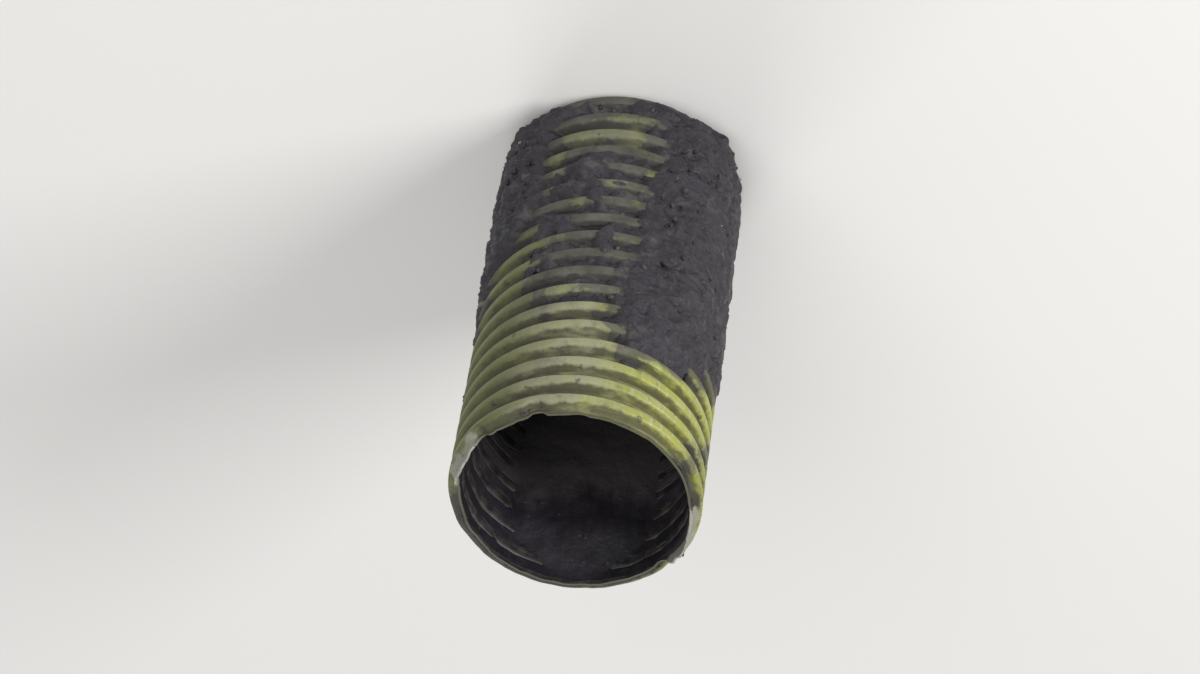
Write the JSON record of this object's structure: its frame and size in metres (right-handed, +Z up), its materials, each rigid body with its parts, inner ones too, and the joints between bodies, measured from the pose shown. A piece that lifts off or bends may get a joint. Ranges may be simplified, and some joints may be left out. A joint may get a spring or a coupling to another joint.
{
  "type": "corrugated land drain pipe",
  "caption": "Short straight length of ribbed, slotted plastic land drain pipe, open at both ends, standing on one cut end, with trench mud on it.",
  "frame": {"origin": "on the floor, in the middle of the end that the pipe stands on", "axes": "+Z up along the pipe, towards the mouth that the picture shows; -Y the side that is uppermost in the picture; -X the side on the right of that mouth there"},
  "size_m": [0.08, 0.08, 0.1612],
  "materials": {
    "yellow_pvc": "satin"
  },
  "bodies": {
    "root": {"drain_pipe": "yellow_pvc"}
  },
  "joints": []
}
